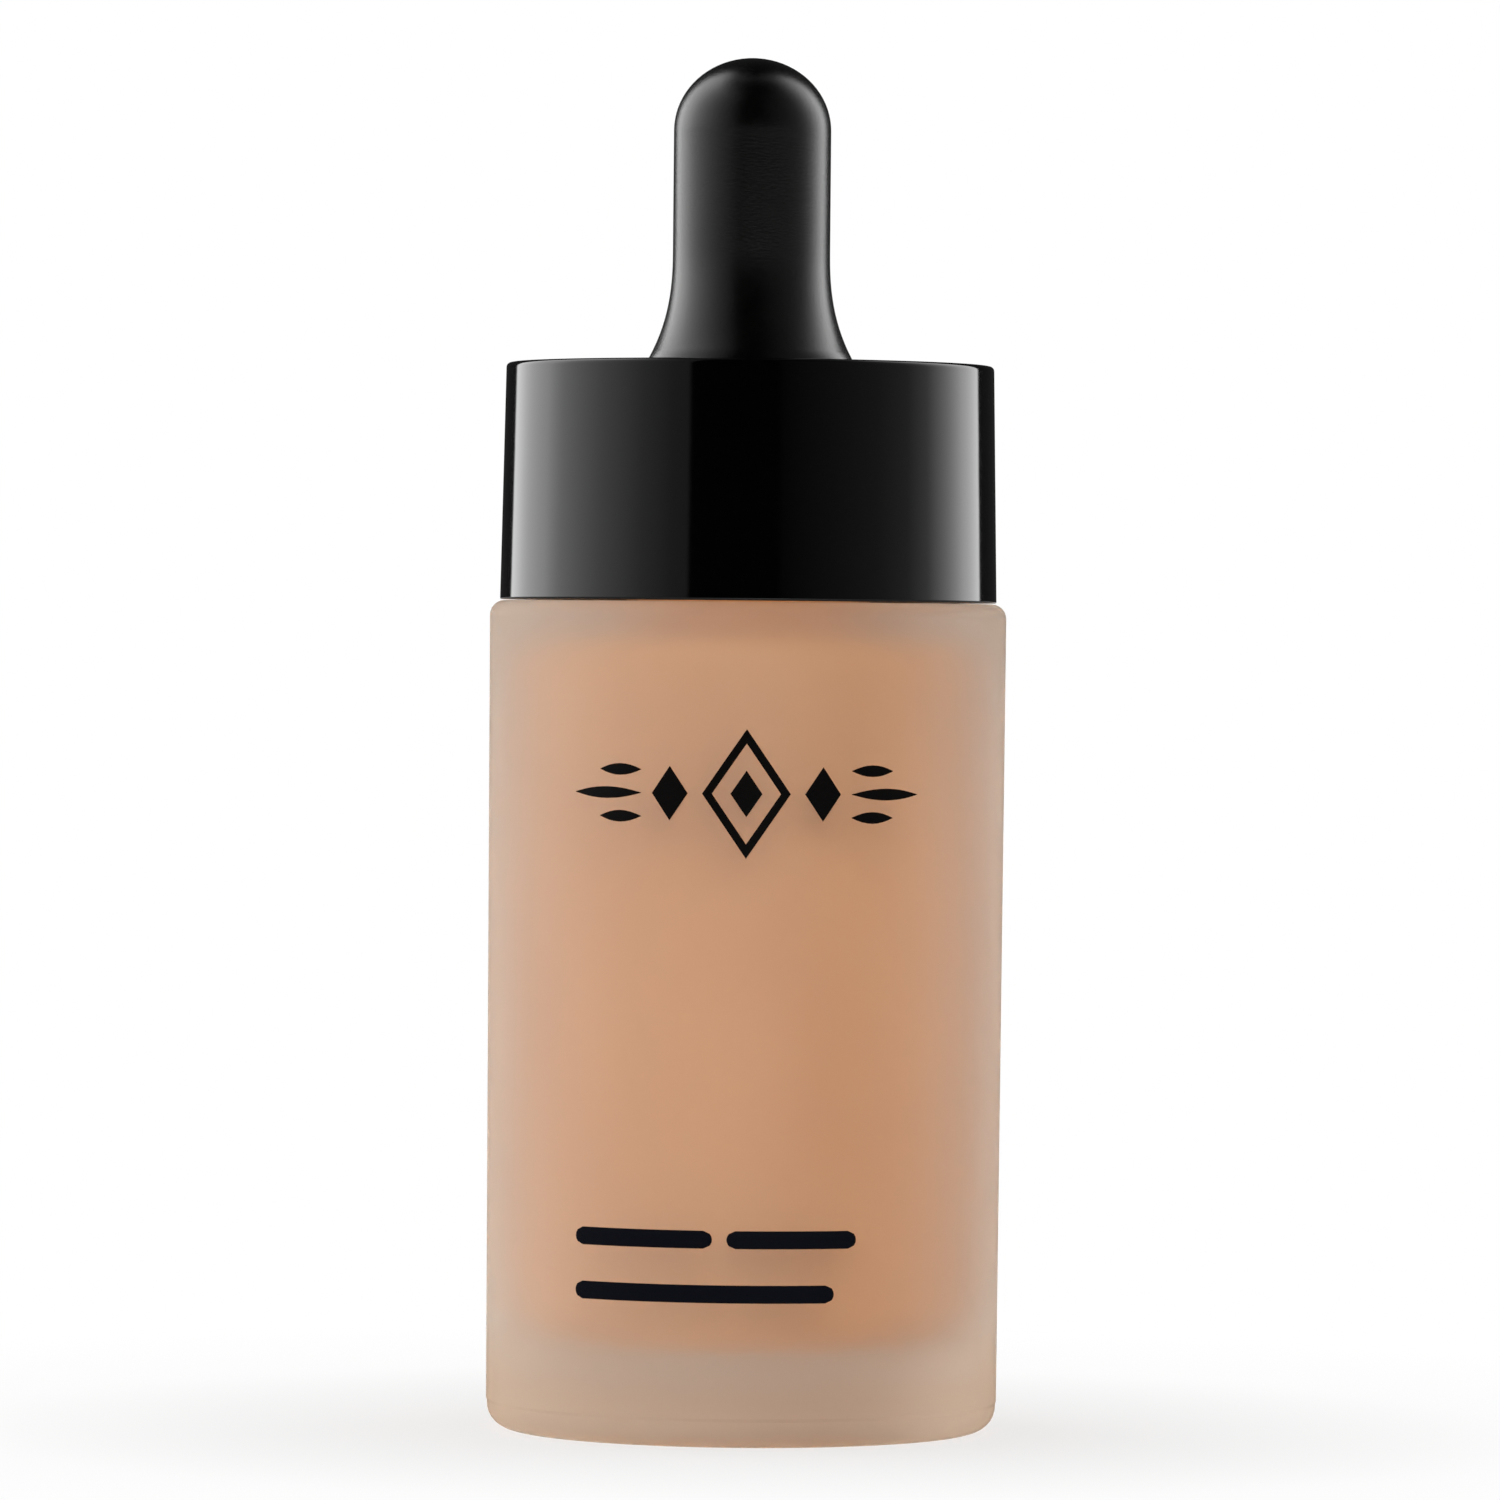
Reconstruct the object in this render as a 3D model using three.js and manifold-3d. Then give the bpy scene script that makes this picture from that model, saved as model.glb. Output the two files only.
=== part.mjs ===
// A 30 ml foundation bottle with a dropper closure, in millimetres, +Z up.
// The origin is the centre of the base, on the surface that the bottle stands on, and -Y is the front.
import * as THREE from "three";
import { mergeVertices } from "three/addons/utils/BufferGeometryUtils.js";
import Module from "manifold-3d";

// ---------------------------------------------------------------- driving dimensions

const ROUND_STEPS = 40; // facets round every turned piece
const ARC_TOLERANCE = 0.08; // farthest that a rounded corner's facets stand from its true arc
const SEAT_GAP = 0.06; // between two pieces that rest on or press into each other

// Glass bottle
const BODY_DIAMETER = 38.0; // at the base
const BODY_FLARE = 0.44; // the diameter gains this much by the shoulder
const BODY_HEIGHT = 61.55; // base to shoulder
const BASE_FILLET = 1.85;
const SHOULDER_FILLET = 1.1;
const GLASS_WALL = 4.85;
const GLASS_FLOOR = 6.6;
const GLASS_SHOULDER = 2.4;
const FLOOR_ROUNDING = 3.2; // inside, where the wall meets the floor
const SHOULDER_ROUNDING = 2.0; // inside, where the wall meets the shoulder
const PUSH_UP_DEPTH = 0.7; // hollow under the base
const FOOT_WIDTH = 2.2; // flat ring that the bottle stands on

// Neck finish
const NECK_HEIGHT = 11.72;
const NECK_DIAMETER = 17.0; // at the root of the thread
const NECK_BORE = 12.4;
const NECK_FILLET = 0.9; // where the neck leaves the shoulder
const NECK_BEAD_REACH = 0.72; // the transfer bead under the thread
const NECK_BEAD_HEIGHT = 1.5;
const NECK_BEAD_LIFT = 1.6; // shoulder to bead

// Thread, one start
const THREAD_PITCH = 3.175; // 8 threads to the inch
const THREAD_TURNS = 1.25;
const THREAD_WIDTH = 1.3; // at the root
const THREAD_CREST = 0.6; // width of the flat at the crest
const NECK_THREAD_DEPTH = 0.75;
const CAP_THREAD_DEPTH = 0.6;
const THREAD_CREST_GAP = 0.15; // the cap's crests pass outside the neck's
const THREAD_RUN_OUT = 30; // degrees over which a thread fades at each end
const THREAD_STEP = 15; // degrees from one section of a thread to the next
const THREAD_START_DROP = 2.55; // rim to the middle of the neck thread's upper end

// Neck wiper
const WIPER_FLANGE = 0.9;
const WIPER_FLANGE_INSET = 0.35; // flange edge to the neck's outside
const WIPER_WALL = 0.8;
const WIPER_LENGTH = 9.0;
const WIPER_LIP = 0.7; // thickness of the wiping lip
const WIPER_LIP_DROP = 3.2; // height of the lip's cone
const WIPER_PIPETTE_GAP = 0.25;

// Sealing washer
const WASHER_THICKNESS = 1.0;
const WASHER_BORE_GAP = 0.4; // to the pipette
const WASHER_EDGE_GAP = 0.25; // to the inner cap: the cap's thread keeps the washer in

// Rubber bulb
const BULB_DIAMETER = 11.7;
const BULB_HEIGHT = 22.8; // above the cap
const BULB_DOME = 5.4; // height of the domed end
const DOME_STEPS = 7; // facets from the top of a dome to its edge
const BULB_SKIRT_REACH = 1.74; // how far the skirt flares out at its foot
const BULB_SKIRT_HEIGHT = 8.4;
const BULB_SKIRT_POWER = 2.5; // the flare follows this power of the way down
const BULB_SKIRT_STEPS = 6;
const BULB_SKIRT_LIP = 0.35; // upright edge at the foot of the skirt
const BULB_WALL = 1.45;
const BULB_WAIST = 10.4; // diameter of the part that goes through the cap
const BULB_FLANGE = 1.2;
const BULB_FLANGE_INSET = 0.3; // flange edge to the washer's edge
const BULB_GRIP = 6.5; // length that grips the pipette, above the cap

// Glass pipette
const PIPETTE_DIAMETER = 7.0;
const PIPETTE_WALL = 0.9;
const PIPETTE_BEAD = 0.45; // how far the fire-rounded top stands out
const PIPETTE_BEAD_HEIGHT = 1.2;
const PIPETTE_TIP_DIAMETER = 3.2;
const PIPETTE_TIP_BORE = 1.6;
const PIPETTE_TAPER = 9.0; // length of the cone
const PIPETTE_TIP_LENGTH = 2.4; // straight end below the cone
const PIPETTE_FLOOR_GAP = 3.0; // tip to the floor of the bottle

// Inner cap
const INNER_CAP_PLATE = 1.35;
const INNER_CAP_SKIRT = 1.6;
const INNER_CAP_LIFT = 0.7; // shoulder to the skirt's edge
const INNER_CAP_RIBS = 12;
const INNER_CAP_RIB_WIDTH = 1.1;
const INNER_CAP_RIB_LIFT = 2.4; // shoulder to the ribs' lower ends
const INNER_CAP_RIB_INSET = 0.25; // the ribs stop short of the plate's edge
const CAP_HOLE_GAP = 0.3; // round the bulb's waist

// Outer shell
const SHELL_STEP = 0.74; // the shell's edge stands in from the bottle's side
const SHELL_DRAFT = 0.33; // its radius loses this much by the top
const SHELL_LIFT = 0.06; // shoulder to the shell's edge
const SHELL_WALL = 1.35;
const SHELL_PLATE = 1.2;
const SHELL_TOP_FILLET = 0.35;
const SHELL_SNAP_REACH = 0.5; // the bead that holds the ribs of the inner cap
const SHELL_SNAP_HEIGHT = 1.3;

// Contents
const HEADSPACE = 0.3; // surface of the foundation to the underside of the shoulder
const LIQUID_GAP = 0.12; // to the glass
const LIQUID_PIPETTE_GAP = 0.4;
const LIQUID_UNDER_TIP_GAP = 0.5;

// ---------------------------------------------------------------- levels and radii

const bodyRadius = BODY_DIAMETER / 2;
const shoulderRadius = bodyRadius + BODY_FLARE / 2;
const cavityRadius = bodyRadius - GLASS_WALL;
const neckRadius = NECK_DIAMETER / 2;
const neckBoreRadius = NECK_BORE / 2;
const neckThreadRadius = neckRadius + NECK_THREAD_DEPTH;
const capThreadRadius = neckThreadRadius + THREAD_CREST_GAP;
const capBoreRadius = capThreadRadius + CAP_THREAD_DEPTH;
const pipetteRadius = PIPETTE_DIAMETER / 2;
const pipetteBoreRadius = pipetteRadius - PIPETTE_WALL;
const pipetteTipRadius = PIPETTE_TIP_DIAMETER / 2;
const pipetteTipBoreRadius = PIPETTE_TIP_BORE / 2;
const washerRadius = capBoreRadius - WASHER_EDGE_GAP;
const bulbRadius = BULB_DIAMETER / 2;
const waistRadius = BULB_WAIST / 2;
const capHoleRadius = waistRadius + CAP_HOLE_GAP;
const shellRadius = shoulderRadius - SHELL_STEP;
const shellTopRadius = shellRadius - SHELL_DRAFT;
const ribRadius = shellTopRadius - SHELL_WALL - SEAT_GAP;

const rimZ = BODY_HEIGHT + NECK_HEIGHT;
const wiperTopZ = rimZ + SEAT_GAP + WIPER_FLANGE;
const washerZ = wiperTopZ + SEAT_GAP;
const washerTopZ = washerZ + WASHER_THICKNESS;
const bulbFlangeZ = washerTopZ + SEAT_GAP;
const bulbFlangeTopZ = bulbFlangeZ + BULB_FLANGE;
const innerPlateZ = bulbFlangeTopZ + SEAT_GAP;
const innerPlateTopZ = innerPlateZ + INNER_CAP_PLATE;
const shellPlateZ = innerPlateTopZ + SEAT_GAP;
const shellTopZ = shellPlateZ + SHELL_PLATE;
const bulbFootZ = shellTopZ + SEAT_GAP;
const bulbTopZ = shellTopZ + BULB_HEIGHT;
const pipetteTopZ = bulbFootZ + BULB_GRIP;
const pipetteTipZ = GLASS_FLOOR + PIPETTE_FLOOR_GAP;
const cavityTopZ = BODY_HEIGHT - GLASS_SHOULDER;
const fillZ = cavityTopZ - HEADSPACE;

// ---------------------------------------------------------------- shape helpers

const wasm = await Module();
wasm.setup();

// Points of an outline through corners [radius, height, fillet], with each fillet as an arc.
function filleted(corners, closed) {
  const last = corners.length - 1;
  const points = [];
  corners.forEach(([radius, height, fillet = 0], i) => {
    const corner = new THREE.Vector2(radius, height);
    if (!fillet || (!closed && (i === 0 || i === last))) {
      points.push(corner);
      return;
    }
    const before = new THREE.Vector2(...corners[i === 0 ? last : i - 1]).sub(corner).normalize();
    const after = new THREE.Vector2(...corners[i === last ? 0 : i + 1]).sub(corner).normalize();
    const half = Math.acos(THREE.MathUtils.clamp(before.dot(after), -1, 1)) / 2;
    const toCentre = before.clone().add(after).normalize();
    const centre = corner.clone().addScaledVector(toCentre, fillet / Math.sin(half));
    const start = corner.clone().addScaledVector(before, fillet / Math.tan(half)).sub(centre);
    const sweep = (Math.PI - 2 * half) * -Math.sign(before.cross(after));
    const widestStep = 2 * Math.acos(1 - Math.min(0.5, ARC_TOLERANCE / fillet));
    const steps = Math.ceil(Math.abs(sweep) / widestStep);
    for (let step = 0; step <= steps; step++) {
      const point = start.clone().rotateAround(new THREE.Vector2(), (sweep * step) / steps);
      points.push(point.add(centre));
    }
  });
  return points;
}

// A solid turned about Z. The outline starts and ends on the axis, or closes on itself.
function turned(outline) {
  const onAxis = outline[0].x === 0;
  const points = onAxis ? [...outline] : [...outline, outline[0].clone()];
  if (THREE.ShapeUtils.area(outline) < 0) points.reverse();
  return new THREE.LatheGeometry(points, ROUND_STEPS).rotateX(Math.PI / 2);
}

// A helical ridge: a straight bar of the thread's section, wound round Z, with its ends sunk in the wall.
// It stands from rootRadius to crestRadius, either of which may be the larger.
function threadRidge(rootRadius, crestRadius, middleZ) {
  const sunk = Math.sign(rootRadius - crestRadius) * 0.3; // buries the root in its wall
  const degrees = THREAD_TURNS * 360;
  const section = new THREE.Shape([
    new THREE.Vector2(0, -THREAD_WIDTH / 2),
    new THREE.Vector2(1, -THREAD_CREST / 2),
    new THREE.Vector2(1, THREAD_CREST / 2),
    new THREE.Vector2(0, THREAD_WIDTH / 2),
  ]);
  const bar = new THREE.ExtrudeGeometry(section, {
    depth: degrees,
    steps: Math.round(degrees / THREAD_STEP),
    bevelEnabled: false,
  });
  const position = bar.getAttribute("position");
  const point = new THREE.Vector3();
  for (let i = 0; i < position.count; i++) {
    point.fromBufferAttribute(position, i);
    const along = point.z;
    const fade = Math.min(1, along / THREAD_RUN_OUT, (degrees - along) / THREAD_RUN_OUT);
    const crest = THREE.MathUtils.lerp(rootRadius + sunk / 2, crestRadius, fade);
    const radius = point.x ? crest : rootRadius + sunk;
    const angle = THREE.MathUtils.degToRad(along);
    const height = middleZ + point.y + THREAD_PITCH * (along / 360 - THREAD_TURNS / 2);
    position.setXYZ(i, radius * Math.cos(angle), radius * Math.sin(angle), height);
  }
  if (crestRadius > rootRadius) turnInsideOut(bar);
  return bar;
}

function turnInsideOut(geometry) {
  const position = geometry.getAttribute("position");
  const a = new THREE.Vector3();
  const b = new THREE.Vector3();
  for (let i = 0; i < position.count; i += 3) {
    a.fromBufferAttribute(position, i);
    b.fromBufferAttribute(position, i + 1);
    position.setXYZ(i, b.x, b.y, b.z);
    position.setXYZ(i + 1, a.x, a.y, a.z);
  }
}

function toSolid(geometry) {
  const bare = geometry.clone();
  bare.deleteAttribute("normal");
  bare.deleteAttribute("uv");
  const merged = mergeVertices(bare, 1e-4);
  return new wasm.Manifold(
    new wasm.Mesh({
      numProp: 3,
      vertProperties: merged.getAttribute("position").array,
      triVerts: new Uint32Array(merged.index.array),
    }),
  );
}

function toGeometry(solid) {
  const mesh = solid.getMesh();
  return new THREE.BufferGeometry()
    .setAttribute("position", new THREE.BufferAttribute(new Float32Array(mesh.vertProperties), 3))
    .setIndex(new THREE.BufferAttribute(new Uint32Array(mesh.triVerts), 1));
}

function joined(geometries) {
  return toGeometry(geometries.map(toSolid).reduce((whole, piece) => whole.add(piece)));
}

// ---------------------------------------------------------------- materials

function finish(color, roughness, metalness = 0, extra = {}) {
  return new THREE.MeshStandardMaterial({ color, roughness, metalness, ...extra });
}

const frostedGlass = finish(0xd2b9a2, 0.55, 0, { transparent: true, opacity: 0.55 });
const clearGlass = finish(0xe6ecec, 0.08, 0, { transparent: true, opacity: 0.4 });
const foundation = finish(0xc79169, 0.4);
const glossBlack = finish(0x0a0a0b, 0.08);
const blackPolypropylene = finish(0x18181a, 0.45);
const blackRubber = finish(0x1c1c1d, 0.6);
const whitePolyethylene = finish(0xe9e8e2, 0.5);
const sealFoam = finish(0xdedcd4, 0.8);

// ---------------------------------------------------------------- bottle

function glassBottle() {
  const footRadius = bodyRadius - BASE_FILLET;
  const pushUpRadius = footRadius - FOOT_WIDTH;
  const beadZ = BODY_HEIGHT + NECK_BEAD_LIFT;
  const beadRadius = neckRadius + NECK_BEAD_REACH;
  const outline = filleted([
    [0, PUSH_UP_DEPTH],
    [pushUpRadius - PUSH_UP_DEPTH, PUSH_UP_DEPTH],
    [pushUpRadius, 0],
    [bodyRadius, 0, BASE_FILLET],
    [shoulderRadius, BODY_HEIGHT, SHOULDER_FILLET],
    [neckRadius, BODY_HEIGHT, NECK_FILLET],
    [neckRadius, beadZ],
    [beadRadius, beadZ + NECK_BEAD_REACH / 2, 0.2],
    [beadRadius, beadZ + NECK_BEAD_HEIGHT - NECK_BEAD_REACH / 2, 0.2],
    [neckRadius, beadZ + NECK_BEAD_HEIGHT],
    [neckRadius, rimZ, 0.6],
    [neckBoreRadius, rimZ, 0.4],
    [neckBoreRadius, cavityTopZ, 1.2],
    [cavityRadius, cavityTopZ, SHOULDER_ROUNDING],
    [cavityRadius, GLASS_FLOOR, FLOOR_ROUNDING],
    [0, GLASS_FLOOR],
  ]);
  return joined([turned(outline), threadRidge(neckRadius, neckThreadRadius, threadMiddleZ())]);
}

function threadMiddleZ() {
  return rimZ - THREAD_START_DROP - (THREAD_PITCH * THREAD_TURNS) / 2;
}

function neckWiper() {
  const outer = neckBoreRadius - SEAT_GAP;
  const inner = outer - WIPER_WALL;
  const lipRadius = pipetteRadius + WIPER_PIPETTE_GAP;
  const flangeZ = rimZ + SEAT_GAP;
  const footZ = flangeZ - WIPER_LENGTH;
  const lipRootZ = footZ + WIPER_LIP_DROP;
  return turned(
    filleted(
      [
        [outer, footZ + 0.9],
        [outer, flangeZ],
        [neckRadius - WIPER_FLANGE_INSET, flangeZ],
        [neckRadius - WIPER_FLANGE_INSET, wiperTopZ, 0.25],
        [inner, wiperTopZ, 0.3],
        [inner, lipRootZ + WIPER_LIP, 0.5],
        [lipRadius, footZ + WIPER_LIP],
        [lipRadius, footZ],
        [lipRadius + WIPER_LIP, footZ],
        [inner - 0.2, footZ + 0.9],
      ],
      true,
    ),
  );
}

function foundationFill() {
  const radius = cavityRadius - LIQUID_GAP;
  const floorZ = GLASS_FLOOR + LIQUID_GAP;
  const pocketRadius = pipetteRadius + LIQUID_PIPETTE_GAP;
  return turned(
    filleted([
      [0, floorZ],
      [radius, floorZ, FLOOR_ROUNDING - LIQUID_GAP / 2],
      [radius, fillZ, SHOULDER_ROUNDING],
      [pocketRadius, fillZ],
      [pocketRadius, pipetteTipZ - LIQUID_UNDER_TIP_GAP, 0.4],
      [0, pipetteTipZ - LIQUID_UNDER_TIP_GAP],
    ]),
  );
}

// ---------------------------------------------------------------- dropper

function sealingWasher() {
  const bore = pipetteRadius + WASHER_BORE_GAP;
  return turned(
    filleted(
      [
        [bore, washerZ],
        [washerRadius, washerZ, 0.15],
        [washerRadius, washerTopZ, 0.15],
        [bore, washerTopZ],
      ],
      true,
    ),
  );
}

// The bulb's skirt, from its top to its foot: it leaves the straight side slowly and ends steeply.
function skirtCorners() {
  const corners = [];
  for (let step = 0; step <= BULB_SKIRT_STEPS; step++) {
    const down = step / BULB_SKIRT_STEPS;
    const height = BULB_SKIRT_HEIGHT - (BULB_SKIRT_HEIGHT - BULB_SKIRT_LIP) * down;
    corners.push([bulbRadius + BULB_SKIRT_REACH * down ** BULB_SKIRT_POWER, bulbFootZ + height]);
  }
  return corners;
}

// An elliptical dome from the axis to its edge, or back with reverse().
function domeCorners(radius, edgeZ, height) {
  const corners = [];
  for (let step = 0; step <= DOME_STEPS; step++) {
    const angle = (Math.PI / 2) * (step / DOME_STEPS);
    corners.push([step ? radius * Math.sin(angle) : 0, edgeZ + height * Math.cos(angle)]);
  }
  return corners;
}

function rubberBulb() {
  const domeZ = bulbTopZ - BULB_DOME;
  const hollowRadius = bulbRadius - BULB_WALL;
  const gripRadius = pipetteRadius + SEAT_GAP;
  const beadRoomRadius = gripRadius + PIPETTE_BEAD;
  const beadRoomZ = pipetteTopZ - PIPETTE_BEAD_HEIGHT - SEAT_GAP;
  const flangeRadius = washerRadius - BULB_FLANGE_INSET;
  return turned(
    filleted([
      ...domeCorners(bulbRadius, domeZ, BULB_DOME),
      ...skirtCorners(),
      [bulbRadius + BULB_SKIRT_REACH, bulbFootZ],
      [waistRadius, bulbFootZ],
      [waistRadius, bulbFlangeTopZ],
      [flangeRadius, bulbFlangeTopZ, 0.2],
      [flangeRadius, bulbFlangeZ, 0.2],
      [gripRadius, bulbFlangeZ],
      [gripRadius, beadRoomZ],
      [beadRoomRadius, beadRoomZ],
      [beadRoomRadius, pipetteTopZ + SEAT_GAP],
      [hollowRadius, pipetteTopZ + SEAT_GAP + 0.6],
      ...domeCorners(hollowRadius, domeZ, BULB_DOME - BULB_WALL).reverse(),
    ]),
  );
}

function glassPipette() {
  const coneZ = pipetteTipZ + PIPETTE_TIP_LENGTH;
  const straightZ = coneZ + PIPETTE_TAPER;
  const beadRadius = pipetteRadius + PIPETTE_BEAD;
  return turned(
    filleted(
      [
        [pipetteTipRadius, pipetteTipZ, 0.35],
        [pipetteTipRadius, coneZ, 2],
        [pipetteRadius, straightZ, 4],
        [pipetteRadius, pipetteTopZ - PIPETTE_BEAD_HEIGHT],
        [beadRadius, pipetteTopZ - PIPETTE_BEAD_HEIGHT, 0.3],
        [beadRadius, pipetteTopZ, 0.5],
        [pipetteBoreRadius, pipetteTopZ, 0.4],
        [pipetteBoreRadius, straightZ, 4],
        [pipetteTipBoreRadius, coneZ, 2],
        [pipetteTipBoreRadius, pipetteTipZ, 0.2],
      ],
      true,
    ),
  );
}

// Foundation that has risen in the pipette to the level outside it.
function pipetteFill() {
  const coneZ = pipetteTipZ + PIPETTE_TIP_LENGTH;
  const straightZ = coneZ + PIPETTE_TAPER;
  const radius = pipetteBoreRadius - SEAT_GAP;
  const tipRadius = pipetteTipBoreRadius - SEAT_GAP;
  return turned(
    filleted([
      [0, pipetteTipZ + 0.3],
      [tipRadius, pipetteTipZ + 0.3],
      [tipRadius, coneZ, 2],
      [radius, straightZ, 4],
      [radius, fillZ],
      [0, fillZ],
    ]),
  );
}

// ---------------------------------------------------------------- cap

function innerCap() {
  const skirtRadius = capBoreRadius + INNER_CAP_SKIRT;
  const skirtZ = BODY_HEIGHT + INNER_CAP_LIFT;
  const ribZ = BODY_HEIGHT + INNER_CAP_RIB_LIFT;
  const body = turned(
    filleted(
      [
        [capBoreRadius, skirtZ, 0.3],
        [skirtRadius, skirtZ, 0.3],
        [skirtRadius, innerPlateZ],
        [ribRadius, innerPlateZ],
        [ribRadius, innerPlateTopZ, 0.3],
        [capHoleRadius, innerPlateTopZ],
        [capHoleRadius, innerPlateZ],
        [capBoreRadius, innerPlateZ],
      ],
      true,
    ),
  );
  const ribs = Array.from({ length: INNER_CAP_RIBS }, (_, i) => {
    const inside = skirtRadius - INNER_CAP_SKIRT / 2;
    const outside = ribRadius - INNER_CAP_RIB_INSET;
    const height = innerPlateZ + INNER_CAP_PLATE / 2 - ribZ;
    return new THREE.BoxGeometry(outside - inside, INNER_CAP_RIB_WIDTH, height)
      .translate((outside + inside) / 2, 0, ribZ + height / 2)
      .rotateZ((2 * Math.PI * (i + 0.5)) / INNER_CAP_RIBS);
  });
  const thread = threadRidge(capBoreRadius, capThreadRadius, threadMiddleZ() - THREAD_PITCH / 2);
  return joined([body, ...ribs, thread]);
}

function outerShell() {
  const edgeZ = BODY_HEIGHT + SHELL_LIFT;
  const snapZ = BODY_HEIGHT + INNER_CAP_RIB_LIFT - SEAT_GAP;
  const snapRadius = ribRadius - SHELL_SNAP_REACH;
  return turned(
    filleted(
      [
        [shellRadius - SHELL_WALL, edgeZ, 0.25],
        [shellRadius, edgeZ, 0.25],
        [shellTopRadius, shellTopZ, SHELL_TOP_FILLET],
        [capHoleRadius, shellTopZ, 0.2],
        [capHoleRadius, shellPlateZ],
        [shellTopRadius - SHELL_WALL, shellPlateZ],
        [shellTopRadius - SHELL_WALL, snapZ],
        [snapRadius, snapZ - SHELL_SNAP_REACH],
        [snapRadius, snapZ - SHELL_SNAP_HEIGHT + SHELL_SNAP_REACH],
        [shellRadius - SHELL_WALL, snapZ - SHELL_SNAP_HEIGHT],
      ],
      true,
    ),
  );
}

// ---------------------------------------------------------------- assembly

function piece(name, geometry, material) {
  const mesh = new THREE.Mesh(geometry, material);
  mesh.name = name;
  return mesh;
}

const bottle = new THREE.Group();
bottle.add(
  piece("glass_bottle", glassBottle(), frostedGlass),
  piece("neck_wiper", neckWiper(), whitePolyethylene),
  piece("foundation_fill", foundationFill(), foundation),
);

const dropper = new THREE.Group();
dropper.add(
  piece("sealing_washer", sealingWasher(), sealFoam),
  piece("rubber_bulb", rubberBulb(), blackRubber),
  piece("glass_pipette", glassPipette(), clearGlass),
  piece("pipette_fill", pipetteFill(), foundation),
);

const cap = new THREE.Group();
cap.add(
  piece("inner_cap", innerCap(), blackPolypropylene),
  piece("outer_shell", outerShell(), glossBlack),
);

const foundationBottle = new THREE.Group();
foundationBottle.add(bottle, dropper, cap);

export default foundationBottle;
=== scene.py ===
"""A 30 ml foundation bottle: frosted glass, gloss black screw cap, rubber bulb and glass dropper.

Lengths are in metres. The origin is the centre of the base, +Z is up and -Y is the front.
"""

import math

import bmesh
import bpy
from mathutils import Matrix, Vector


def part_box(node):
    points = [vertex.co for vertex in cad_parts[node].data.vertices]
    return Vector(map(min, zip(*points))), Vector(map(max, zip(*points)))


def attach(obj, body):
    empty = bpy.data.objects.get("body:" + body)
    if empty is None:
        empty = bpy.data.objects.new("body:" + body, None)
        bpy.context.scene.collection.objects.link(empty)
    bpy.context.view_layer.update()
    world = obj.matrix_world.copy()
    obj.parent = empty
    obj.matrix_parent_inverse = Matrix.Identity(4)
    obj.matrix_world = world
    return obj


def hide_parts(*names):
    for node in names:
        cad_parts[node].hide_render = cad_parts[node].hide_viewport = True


bl_info = {
    "name": "Foundation Bottle",
    "version": (1, 0, 0),
    "blender": (4, 5, 0),
    "location": "View3D > Sidebar > Bottle",
    "description": "Builds a frosted-glass foundation bottle with a dropper closure",
    "category": "Object",
}

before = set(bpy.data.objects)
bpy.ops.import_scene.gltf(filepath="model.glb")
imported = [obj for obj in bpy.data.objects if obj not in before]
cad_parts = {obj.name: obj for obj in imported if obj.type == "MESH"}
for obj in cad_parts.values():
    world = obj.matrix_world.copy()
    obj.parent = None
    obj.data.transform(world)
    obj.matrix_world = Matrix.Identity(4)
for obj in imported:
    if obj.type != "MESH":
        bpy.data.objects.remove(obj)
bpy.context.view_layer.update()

MM = 0.001
GLASS_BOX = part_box("glass_bottle")
FILL_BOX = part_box("foundation_fill")
WIPER_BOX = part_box("neck_wiper")
WASHER_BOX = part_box("sealing_washer")
BULB_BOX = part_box("rubber_bulb")
PIPETTE_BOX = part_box("glass_pipette")
PIPETTE_FILL_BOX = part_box("pipette_fill")
INNER_CAP_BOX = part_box("inner_cap")
SHELL_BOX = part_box("outer_shell")

TURN_STEPS = 160
ARC_STEPS = 4  # facets of the smallest rounding
ARC_FACET = 0.4 * MM  # a rounding gets one more facet for each of these in its radius
FINE = 1e-7  # points nearer than this are one point
ON_WALL = 2e-6  # points nearer than this to a wall's radius are on the wall
CREASE = math.radians(32)  # sharper edges are shaded as creases
HOLD = 0.12 * MM  # how near a rounding the even shading of a straight wall starts
FLANK = 0.3  # of a thread's width, up each side of it
CENTIMETRES = 100  # in a metre
DECIMETRES = 10
WHITE = (1, 1, 1, 1)


# ---------------------------------------------------------------- what a user may change


def length(name, description, millimetres):
    return bpy.props.FloatProperty(
        name=name, description=description, default=millimetres * MM, min=0, unit="LENGTH", precision=5
    )


def colour(name, description, rgb):
    return bpy.props.FloatVectorProperty(
        name=name, description=description, default=rgb, min=0, max=1, size=3, subtype="COLOR"
    )


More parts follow.
